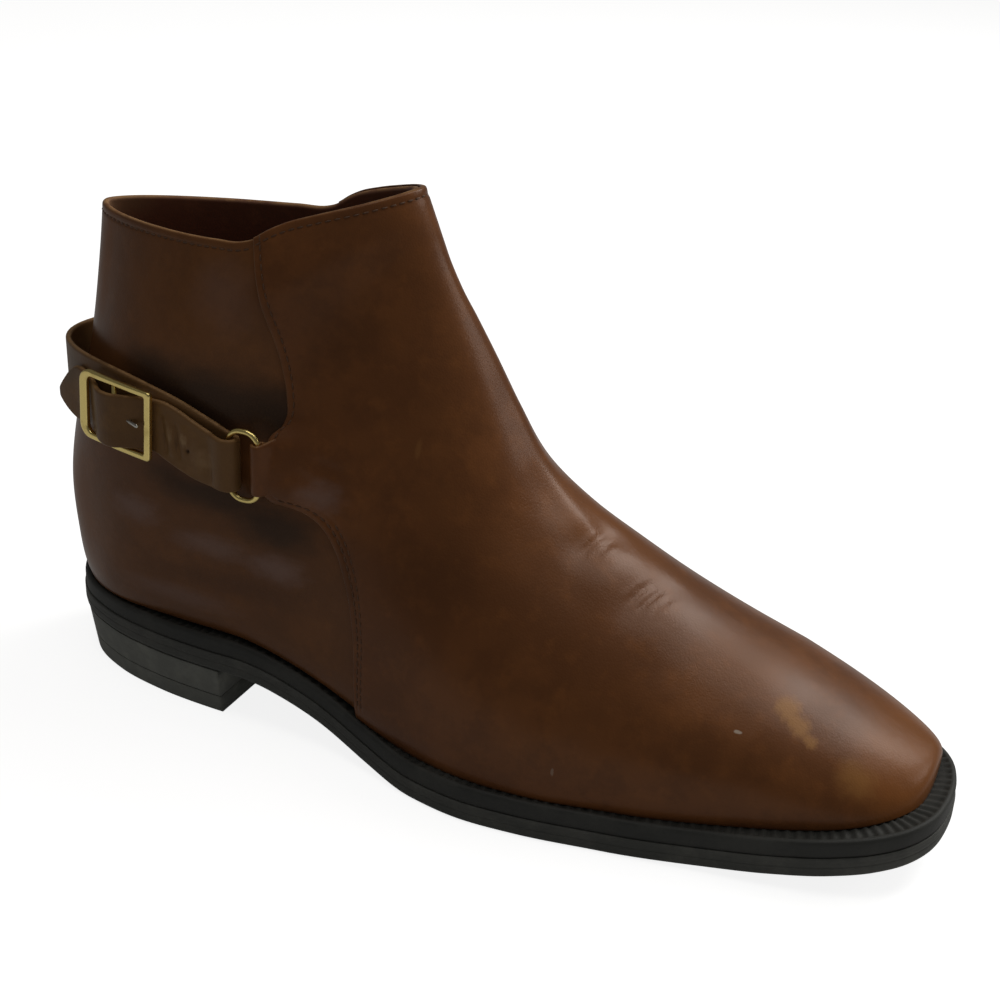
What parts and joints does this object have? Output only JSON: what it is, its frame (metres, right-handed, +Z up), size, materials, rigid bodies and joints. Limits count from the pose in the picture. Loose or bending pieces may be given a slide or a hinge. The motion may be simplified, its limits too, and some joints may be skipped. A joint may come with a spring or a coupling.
{
  "type": "monk strap chukka boot",
  "caption": "Right ankle boot with a plain front panel and a strap that runs round the heel, through a ring on the outer side and back to a buckle.",
  "frame": {"origin": "middle of the bounding box on the floor", "axes": "+X to the toe, +Y to the inner side of the right foot, +Z up"},
  "size_m": [0.3054, 0.104, 0.1751],
  "materials": {
    "quarter_leather": "satin",
    "vamp_leather": "polished",
    "strap_leather": "satin",
    "insole_leather": "matte",
    "welt": "satin",
    "outsole": "satin",
    "heel_stack": "satin",
    "heel_top_piece": "satin",
    "brass": "polished",
    "prong_metal": "polished"
  },
  "bodies": {
    "root": {"upper": "quarter_leather", "vamp": "vamp_leather", "strap": "strap_leather", "insole": "insole_leather", "welt": "welt", "outsole": "outsole", "heel_stack": "heel_stack", "heel_top_piece": "heel_top_piece", "ring": "brass", "buckle_frame": "brass", "buckle_prong": "prong_metal"}
  },
  "joints": []
}
